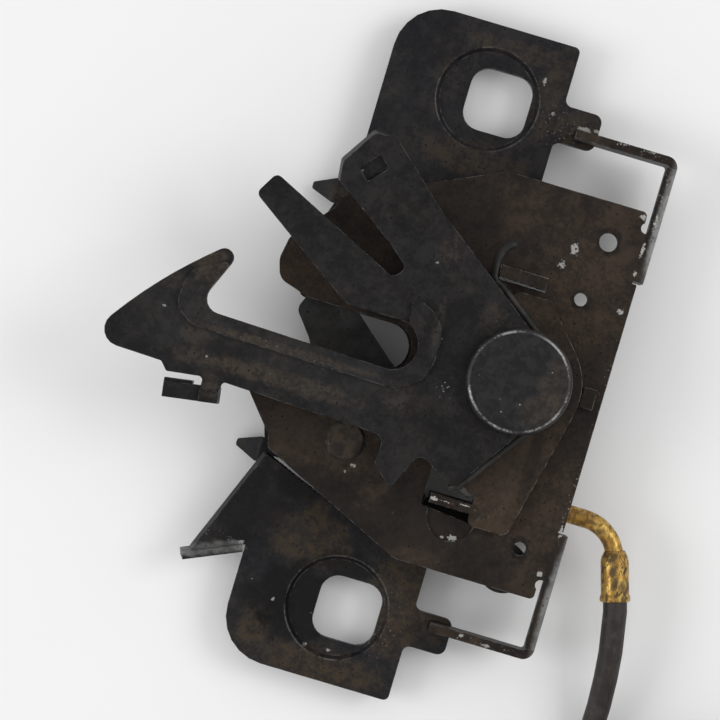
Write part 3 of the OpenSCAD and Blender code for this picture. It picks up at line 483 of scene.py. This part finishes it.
def front_plate_coat():
    """Front plate: brown film, oily at its lower edge, flakes by the straight edge and light flanges."""
    tones = {
        "coat": (0.0125, 0.0095, 0.0078), "dull": (0.029, 0.0205, 0.015), "dust": (0.056, 0.038, 0.0245),
        "grey": (0.24, 0.24, 0.235), "bare_and_highlight": (0.4, 0.39, 0.37),
    }
    places = {
        "dust": [
            ((28, 24), (10, 16), 0.95), ((30, -20), (8, 18), 0.75), ((8, 36), (14, 4), 0.25),
            ((-8, -24), (7, 5), 0.45), ((-30, 10), (7, 8), 0.8), ((-8, -26), (2, 1.6), 0.8),
        ],
        "oil": [
            ((-15, -31.5), (11, 4.4), 0.6), ((-1, -36.5), (9, 4), 0.5), ((6, 12), (8, 9), 0.5),
            ((0, 32), (9, 6), 0.35), ((29.5, 33.1), (3.1, 3.1), 0.9), ((27.4, 20.3), (2.4, 2.4), 0.9),
            ((29.9, -32), (2.4, 2.4), 0.9), ((33, -2), (4, 14), 0.4), ((8, -32), (11, 7), 0.45),
            ((23, -37), (9, 4), 0.4), ((36.9, 41), (0.7, 13), 0.8), ((36.9, -41), (0.7, 13), 0.5),
        ],
        "grey": [((38.9, 41), (1.6, 14.5), 1), ((38.9, -41), (1.5, 14.5), 0.9)],
        "flakes": [
            ((23.4, 29.9), (1, 2.1), 0.6), ((21.8, 26), (1, 1.2), 0.5), ((35.8, 20.2), (0.8, 0.7), 0.7),
            ((36.6, 33.6), (0.5, 1.9), 0.7), ((36.5, 28.5), (0.5, 0.6), 0.7),
            ((34.8, 40), (0.8, 0.7), 0.8), ((-7.7, -25.4), (0.9, 0.6), 0.5),
            ((-8.9, -27.1), (0.5, 0.4), 0.5), ((2.2, -22.6), (0.4, 0.3), 0.6),
            ((37, -26.4), (0.5, 1.3), 0.9), ((35.2, -35.8), (0.7, 0.6), 0.9),
            ((16.1, -33.9), (1.1, 0.7), 0.9), ((14, -34.3), (0.5, 0.4), 0.6),
            ((27, 53.6), (1.6, 0.5), 0.5), ((33, 53.4), (1.3, 0.5), 0.45),
            ((23.6, -52.6), (0.6, 0.5), 0.7), ((29, -53.2), (1.6, 0.4), 0.5), ((37.6, 40), (0.5, 3), 0.5),
        ],
        "dots": [
            ((30, 53.2), (9, 1), 0.5), ((37.4, 44), (0.9, 8), 0.6), ((28, -53), (9, 1), 0.4),
            ((37.2, 5), (0.8, 14), 0.35), ((37.2, -20), (0.8, 10), 0.4),
        ],
    }
    return coated_sheet("front_plate_coat", tones, places, film=0.5, edge_share=0.55)


def pawl_coat():
    """Pawl: brown film, oily tooth with a bright rubbed edge."""
    tones = {
        "coat": (0.0175, 0.0125, 0.009), "dull": (0.035, 0.024, 0.0165), "dust": (0.06, 0.041, 0.027),
        "grey": (0.06, 0.05, 0.04), "bare_and_highlight": (0.48, 0.47, 0.45),
    }
    places = {
        "dust": [((22, -26), (7, 8), 0.8), ((18, 14), (6, 6), 0.6)],
        "oil": [((14.5, -27.6), (6, 2.2), 0.5), ((30, 3), (3, 6), 0.6), ((27, -15), (1.5, 9), 0.5)],
        "grey": [((24, -22), (1, 6), 0.3)],
        "flakes": [
            ((10.1, -27), (0.8, 0.5), 1), ((12.6, -27), (1.6, 0.22), 0.5),
            ((16.5, -26.6), (1.4, 0.2), 0.5),
        ],
        "dots": [((20, -28), (4, 3), 0.12)],
    }
    return coated_sheet("pawl_coat", tones, places, film=0.5)


def claw_coat():
    """Claw: grey plate, rubbed lighter beside its fork."""
    tones = {
        "coat": (0.024, 0.0245, 0.0245), "dull": (0.044, 0.044, 0.043), "dust": (0.06, 0.048, 0.036),
        "grey": (0.13, 0.132, 0.132), "bare_and_highlight": (0.28, 0.28, 0.27),
    }
    places = {
        "dust": [((-20, -6), (5, 9), 0.5), ((-4, -26), (10, 5), 0.6)],
        "oil": [((-16, 2), (4, 4), 0.4)],
        "grey": [((-17, 6), (3, 6), 0.3)],
        "flakes": [((-22, 8), (0.4, 0.3), 0.5)],
        "dots": [((-16, 8), (6, 2), 0.25)],
    }
    return coated_sheet("claw_coat", tones, places, film=0.3)


def rivet_steel():
    """Rivets: dark mottled tops, brown in places, with a broken bright ring at the big head's rim, partly
    bare metal and partly a painted highlight.
    """
    dark = (0.0085, 0.0085, 0.0098)
    dull = (0.0185, 0.018, 0.019)
    film = (0.052, 0.038, 0.026)
    bare_and_highlight = (0.42, 0.42, 0.41)
    stained = [((26.3, -0.5), (3.6, 8), 0.75), ((24, -4.5), (4, 4), 0.5), (CLAW_PIN_AT, (6, 6), 1)]
    f = Finish("rivet_steel", specular=0.19)
    mottle = f.grain(2.4, 6, 0.72)
    fine = f.grain(0.5, 5, 0.7, seed=4)
    blotch = f.ease(mottle, 0.42, 0.6)
    brown = f.spots(stained, 0.7, 0.8)
    colour = f.blend(f.blend(dark, dull, blotch), film, brown * (0.35 + 0.65 * blotch))
    # Rim ring in bare colour: partly rubbed metal, partly a painted highlight of the lit rim chamfer
    rim_wear_and_highlight = f.band(HEAD_AT, RIM_INNER, RIM_OUTER) * f.ease(f.component(f.place, "Z"), *RIM_Z)
    uneven = f.ease(f.grain(9, 3, 0.6, seed=8) * 0.6 + fine * 0.4, 0.46, 0.6)
    edge = f.edges(0.4) * f.ease(f.grain(2, 4, seed=3), 0.5, 0.7) * 0.3
    speck = f.pocks(2.2, 0.07, 0.1) * f.ease(f.grain(6, 2, seed=9), 0.4, 0.5)
    wear_and_highlight = (rim_wear_and_highlight * (0.04 + 0.7 * uneven)).at_least(edge).at_least(speck * 0.6)
    f.shade(f.blend(colour, bare_and_highlight, wear_and_highlight), 0.42 + 0.25 * brown - 0.12 * wear_and_highlight, wear_and_highlight * 0.6)
    f.bump(fine * 0.5 + mottle - wear_and_highlight, 0.06, 0.4)
    return f.material


def turned_steel():
    """Spacers, bushes and peg: dull turned steel with fine rings and oil stains."""
    dull = (0.2, 0.19, 0.18)
    bright = (0.27, 0.26, 0.25)
    oil = (0.06, 0.045, 0.03)
    f = Finish("turned_steel")
    rings = f.grain(0.35, 2, 0.5, (0.02, 0.02, 1))
    stain = f.ease(f.grain(3, 4, 0.6, seed=6), 0.45, 0.7)
    f.shade(f.blend(f.blend(dull, bright, rings), oil, stain), 0.36 + 0.3 * stain, 0.7)
    f.bump(rings, 0.02, 0.2)
    return f.material


def spring_steel():
    """Spring wire: dark oiled steel with a little brown."""
    dark = (0.02, 0.019, 0.018)
    rubbed = (0.045, 0.043, 0.04)
    brown = (0.06, 0.04, 0.026)
    f = Finish("spring_steel")
    rub = f.ease(f.grain(5, 3, seed=2), 0.5, 0.7)
    stain = f.ease(f.grain(2, 4, seed=12), 0.55, 0.7) * 0.5
    f.shade(f.blend(f.blend(dark, rubbed, rub), brown, stain), 0.48 - 0.12 * rub, 0.4)
    f.bump(f.grain(0.5, 4, 0.6), 0.02, 0.1)
    return f.material


def stop_rubber():
    """Rubber stop: matt black with a dusty bloom."""
    black = (0.012, 0.012, 0.012)
    dust = (0.045, 0.04, 0.035)
    f = Finish("stop_rubber", specular=0.2)
    bloom = f.ease(f.grain(2.2, 4, 0.65), 0.45, 0.75)
    f.shade(f.blend(black, dust, bloom), 0.7 + 0.2 * bloom)
    f.bump(f.grain(0.4, 3), 0.03, 0.3)
    return f.material


def yellow_plate(name, tones, soil, seed, grime):
    """Yellow passivated tube or sleeve: golden, with brown streaks along it, grime and patches of soil."""
    clear, deep = tones
    brown = (0.13, 0.06, 0.015)
    dirt = (0.03, 0.018, 0.009)
    f = Finish(name, specular=0.4)
    cloud = f.ease(f.grain(3, 4, 0.6, seed=seed), 0.4, 0.62)
    streak = f.ease(f.grain(1.1, 4, 0.6, (1, 0.3, 1), seed + 2, 20), 0.45, 0.62)
    colour = f.blend(f.blend(clear, deep, cloud), brown, streak * 0.75)
    blotch = f.ease(f.grain(1.0, 5, 0.7, (1, 0.45, 1), seed + 5, 20), 0.64 - grime, 0.76 - grime)
    blotch = blotch.at_least(f.spots(soil, 0.6, 0.8) * f.upward())
    rough = 0.3 + 0.2 * streak + 0.25 * blotch
    f.shade(f.blend(colour, dirt, blotch * 0.85), rough, 0.55 - 0.45 * blotch)
    f.bump(f.grain(0.6, 4, seed=seed) - blotch, 0.04, 0.25)
    return f.material


def cast_zinc():
    """Cast cable ends: dull grey with pits."""
    dark = (0.2, 0.195, 0.185)
    light = (0.34, 0.33, 0.31)
    hollow = (0.08, 0.07, 0.06)
    f = Finish("cast_zinc")
    cloud = f.grain(1.8, 4, 0.6)
    pits = f.pocks(0.7, 0.12, 0.25)
    f.shade(f.blend(f.blend(dark, light, cloud), hollow, pits * 0.7), 0.42 + 0.25 * pits, 0.6)
    f.bump(cloud - pits, 0.04, 0.25)
    return f.material


def wire_steel():
    """Strands of the inner cable: greased bright steel."""
    bright = (0.36, 0.36, 0.35)
    greased = (0.07, 0.06, 0.045)
    f = Finish("wire_steel")
    grease = f.ease(f.grain(1.5, 4, 0.6), 0.42, 0.7)
    f.shade(f.blend(bright, greased, grease), 0.3 + 0.2 * grease, 0.8)
    return f.material


def sheath_skin():
    """Cable sheath: black plastic, dusty, with scuffs along it."""
    black = (0.0225, 0.019, 0.018)
    dusted = (0.064, 0.051, 0.045)
    scuffed = (0.075, 0.068, 0.064)
    f = Finish("sheath_skin", specular=0.25)
    dust = f.ease(f.grain(3.4, 5, 0.65), 0.42, 0.75)
    scuff = f.ease(f.grain(0.7, 4, 0.6, (1, 0.12, 1), 6), 0.58, 0.7) * 0.5
    f.shade(f.blend(f.blend(black, dusted, dust), scuffed, scuff), 0.46 + 0.25 * dust)
    f.bump(f.grain(0.9, 4, seed=3) + scuff, 0.05, 0.1)
    return f.material


def black_moulding(name, seed):
    """Moulded tie and end ferrule: satin black plastic with a fine texture."""
    black = (0.014, 0.014, 0.015)
    faded = (0.035, 0.033, 0.032)
    f = Finish(name, specular=0.35)
    cloud = f.grain(4, 4, 0.6, seed=seed)
    f.shade(f.blend(black, faded, f.ease(cloud, 0.4, 0.7)), 0.38 + 0.2 * cloud)
    f.bump(f.grain(0.35, 3, seed=seed), 0.03, 0.3)
    return f.material


def table_paper():
    """Nearly white matt ground."""
    f = Finish("table_paper", specular=0.1)
    f.shade(f.blend((0.85, 0.85, 0.85), (0.88, 0.88, 0.88), f.grain(60, 3)), 0.9)
    return f.material


def coil_points():
    """Turns of the coil: each run moves one place round the bundle over the first half of its turn."""
    low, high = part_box("cable_coil")
    middle = (low[2] + high[2]) / 2 / MM
    ring = (high[2] - low[2]) / 2 / MM - SHEATH_D / 2 - COIL_SLACK
    points = []
    steps = COIL_STEPS * (COIL_RUNS - 1) + COIL_STEPS // 2
    for i in range(steps + 1):
        turns = i / COIL_STEPS
        whole = math.floor(turns)
        part = min(1, (turns - whole) * 2)
        slot = whole + part * part * (3 - 2 * part)
        around = math.radians(180 + 360 * turns)
        across = math.radians(-90 + 360 / COIL_RUNS * slot)
        reach = COIL_D / 2 + ring * math.cos(across)
        points.append((
            COIL_CENTRE[0] + reach * math.cos(around),
            COIL_CENTRE[1] + reach * math.sin(around),
            middle + ring * math.sin(across),
        ))
    return points


def release_cable(skin):
    """The sheathed cable from its sleeve to its ferrule, as one open curve, with its start and its length."""
    start = (*SLEEVE_END, CABLE_Z)
    out_x, out_y = (end + EXIT_STRAIGHT * way for end, way in zip(SLEEVE_END, EXIT_DIR))
    route = [start, (out_x, out_y, CABLE_Z), *LEAD_ROUTE, *coil_points(), *TAIL_ROUTE]
    line = bpy.data.curves.new("cable", "CURVE")
    line.dimensions = "3D"
    line.bevel_depth = SHEATH_D / 2 * MM
    line.bevel_resolution = SHEATH_ROUNDING
    line.use_fill_caps = True
    spline = line.splines.new("POLY")
    spline.points.add(len(route) - 1)
    for point, place in zip(spline.points, route):
        point.co = (*metres(place), 1)
    spline.use_smooth = True
    line.materials.append(skin)
    cable = placed("cable", line)
    length = sum((Vector(b) - Vector(a)).length for a, b in zip(route, route[1:])) * MM
    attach(cable, "frame")
    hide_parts("cable_sheath", "cable_coil", "cable_tail")
    return cable, metres(start), length


def strand_tree():
    """Geometry nodes for strands wound round a middle one along +Z, and the tree's inputs by name."""
    tree = bpy.data.node_groups.new("stranded_wire", "GeometryNodeTree")
    kinds = {"Length": "Float", "Lay": "Float", "Strand": "Float", "Count": "Int", "Material": "Material"}
    sockets = {
        name: tree.interface.new_socket(name, in_out="INPUT", socket_type="NodeSocket" + kind)
        for name, kind in kinds.items()
    }
    tree.interface.new_socket("Geometry", in_out="OUTPUT", socket_type="NodeSocketGeometry")
    maker = NodeMaker(tree)
    given = {socket.name: Wire(maker, socket) for socket in maker.add("NodeGroupInput").outputs}
    reach = given["Strand"] * 2.0
    helix = maker.add("GeometryNodeCurveSpiral", {}, {
        "Resolution": HELIX_STEPS, "Rotations": given["Length"] / given["Lay"],
        "Start Radius": reach, "End Radius": reach, "Height": given["Length"],
    })
    places = maker.add("GeometryNodePoints", {}, {"Count": given["Count"]})
    index = Wire(maker, maker.add("GeometryNodeInputIndex").outputs[0])
    angle = index / given["Count"] * (2 * math.pi)
    wound = maker.add("GeometryNodeInstanceOnPoints", {}, {
        "Points": places.outputs[0], "Instance": helix.outputs[0],
        "Rotation": maker.add("ShaderNodeCombineXYZ", {}, {"Z": angle}).outputs[0],
    })
    top = maker.add("ShaderNodeCombineXYZ", {}, {"Z": given["Length"]}).outputs[0]
    middle = maker.add("GeometryNodeCurvePrimitiveLine", {}, {"Start": (0, 0, 0), "End": top})
    outer = maker.add("GeometryNodeRealizeInstances", {}, {"Geometry": wound.outputs[0]})
    lines = maker.add("GeometryNodeJoinGeometry")
    for curves in (outer, middle):
        maker.feed(lines.inputs[0], curves.outputs[0])
    section = maker.add("GeometryNodeCurvePrimitiveCircle", {}, {
        "Resolution": STRAND_SIDES, "Radius": given["Strand"],
    })
    solid = maker.add("GeometryNodeCurveToMesh", {}, {
        "Curve": lines.outputs[0], "Profile Curve": section.outputs[0], "Fill Caps": True,
    })
    real = maker.add("GeometryNodeRealizeInstances", {}, {"Geometry": solid.outputs[0]})
    done = maker.add("GeometryNodeSetMaterial", {}, {
        "Geometry": real.outputs[0], "Material": given["Material"],
    })
    maker.add("NodeGroupOutput", {}, {0: done.outputs[0]})
    return tree, sockets


def stranded_wire(name, tree, sockets, material, node, turn):
    """Stranded cable in the place of a plain wire node, laid along the turned Z axis."""
    low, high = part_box(node)
    size = [b - a for a, b in zip(low, high)]
    length = max(size)
    values = {
        "Length": length, "Lay": STRAND_LAY * MM, "Strand": min(size) / WIRE_WIDTH,
        "Count": STRANDS, "Material": material,
    }
    holder = placed(name + "_maker", bpy.data.meshes.new(name + "_maker"))
    strands = holder.modifiers.new("strands", "NODES")
    strands.node_group = tree
    for key, value in values.items():
        strands[sockets[key].identifier] = value
    ready = holder.evaluated_get(bpy.context.evaluated_depsgraph_get())
    mesh = bpy.data.meshes.new_from_object(ready)
    bpy.data.objects.remove(holder)
    centre = Vector([(a + b) / 2 for a, b in zip(low, high)])
    mesh.transform(Matrix.Translation(centre) @ turn @ Matrix.Translation((0, 0, -length / 2)))
    mesh.shade_smooth()
    wire = placed(name, mesh)
    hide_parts(node)
    return wire


def bare_wires():
    """The inner wire where it leaves the sheath at either end; the far one is handed back."""
    steel = wire_steel()
    tree, sockets = strand_tree()
    along_y = Matrix.Rotation(-math.pi / 2, 4, "X")
    along_x = Matrix.Rotation(math.pi / 2, 4, "Y")
    end_wire = stranded_wire("end_wire", tree, sockets, steel, "end_core", along_y)
    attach(end_wire, "frame")
    pull_wire = stranded_wire("pull_wire", tree, sockets, steel, "cable_core", along_x)
    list(map(metres, PULL_WIRE_ENDS))
    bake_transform(pull_wire)
    return end_wire


def paint(material, *names):
    """Give CAD nodes that material."""
    for name in names:
        slots = NODES[name].data.materials
        slots.clear()
        slots.append(material)


def paint_nodes():
    """Finishes of the CAD nodes that keep their own mesh."""
    paint(lever_coat(), "safety_lever")
    paint(back_plate_coat(), "back_plate")
    paint(front_plate_coat(), "front_plate")
    paint(pawl_coat(), "pawl")
    paint(claw_coat(), "claw")
    paint(rivet_steel(), "main_pivot_rivet", "claw_pivot_rivet")
    paint(turned_steel(), "pivot_spacer", "pivot_bush", "claw_bush", "claw_peg")
    paint(stop_rubber(), "stop_buffer")
    paint(cast_zinc(), "cable_nipple", "end_nipple")
    paint(black_moulding("tie_plastic", 1), "coil_tie")
    paint(black_moulding("ferrule_plastic", 4), "end_ferrule")
    paint(yellow_plate("sleeve_yellow", SLEEVE_TONES, SLEEVE_SOIL, seed=4, grime=0.16), "crimp_sleeve")


def smooth_copy(name, node, material):
    """A merged, smooth-shaded copy that stands for a round CAD node."""
    mesh = NODES[node].data.copy()
    work = bmesh.new()
    work.from_mesh(mesh)
    bmesh.ops.remove_doubles(work, verts=work.verts, dist=MERGE_WITHIN * MM)
    work.to_mesh(mesh)
    work.free()
    mesh.shade_smooth()
    mesh.set_sharp_from_angle(angle=math.radians(SHARP_ANGLE))
    mesh.materials.clear()
    mesh.materials.append(material)
    piece = placed(name, mesh)
    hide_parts(node)
    return piece


def elbow_and_springs():
    """The round pieces that are smooth-shaded: the elbow goes on the frame, and each spring is baked where it
    stands.
    """
    yellow = yellow_plate("elbow_yellow", ELBOW_TONES, ELBOW_SOIL, seed=1, grime=0.1)
    elbow = smooth_copy("elbow_tube", "cable_elbow", yellow)
    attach(elbow, "frame")
    steel = spring_steel()
    lever_coil = smooth_copy("lever_return_spring", "lever_spring", steel)
    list(map(metres, LEVER_SPRING_ENDS))
    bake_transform(lever_coil)
    claw_coil = smooth_copy("claw_return_spring", "claw_spring", steel)
    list(map(metres, CLAW_SPRING_ENDS))
    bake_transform(claw_coil)


def dress():
    """All pieces and finishes of the latch."""
    cable, start, length = release_cable(sheath_skin())
    end_wire = bare_wires()
    paint_nodes()
    elbow_and_springs()


def floor():
    """The ground that the latch lies on."""
    mesh = bpy.data.meshes.new("table")
    half = TABLE_HALF * MM
    corners = [(-half, -half), (half, -half), (half, half), (-half, half)]
    mesh.from_pydata([(x, y, TABLE_Z * MM) for x, y in corners], [], [(0, 1, 2, 3)])
    mesh.materials.append(table_paper())
    table = placed("table", mesh)


def photo_camera():
    """Camera that sees the latch as the photograph does."""
    lens = bpy.data.cameras.new("camera")
    lens.lens = CAMERA_LENS
    lens.sensor_width = SENSOR
    lens.clip_start = CAMERA_NEAR * MM
    camera = placed("camera", lens)
    camera.location = metres(CAMERA_AT)
    camera.rotation_euler = (0, 0, math.radians(CAMERA_TURN))
    bpy.context.scene.camera = camera


def studio():
    """White room light, and softboxes that look at the middle of the latch."""
    world = bpy.data.worlds.new("studio")
    world.use_nodes = True
    back = world.node_tree.nodes["Background"]
    back.inputs["Color"].default_value = (1, 1, 1, 1)
    back.inputs["Strength"].default_value = ROOM_LIGHT
    bpy.context.scene.world = world
    for name, at, power in SOFTBOXES:
        lamp = bpy.data.lights.new(name, "AREA")
        lamp.energy = power
        lamp.shape = "SQUARE"
        lamp.size = SOFTBOX_SIZE * MM
        box = placed(name, lamp)
        box.location = metres(at)
        box.rotation_euler = (-Vector(at)).to_track_quat("-Z", "Y").to_euler()
    bpy.context.scene.view_settings.view_transform = "Standard"


photo_camera()
dress()
floor()
studio()
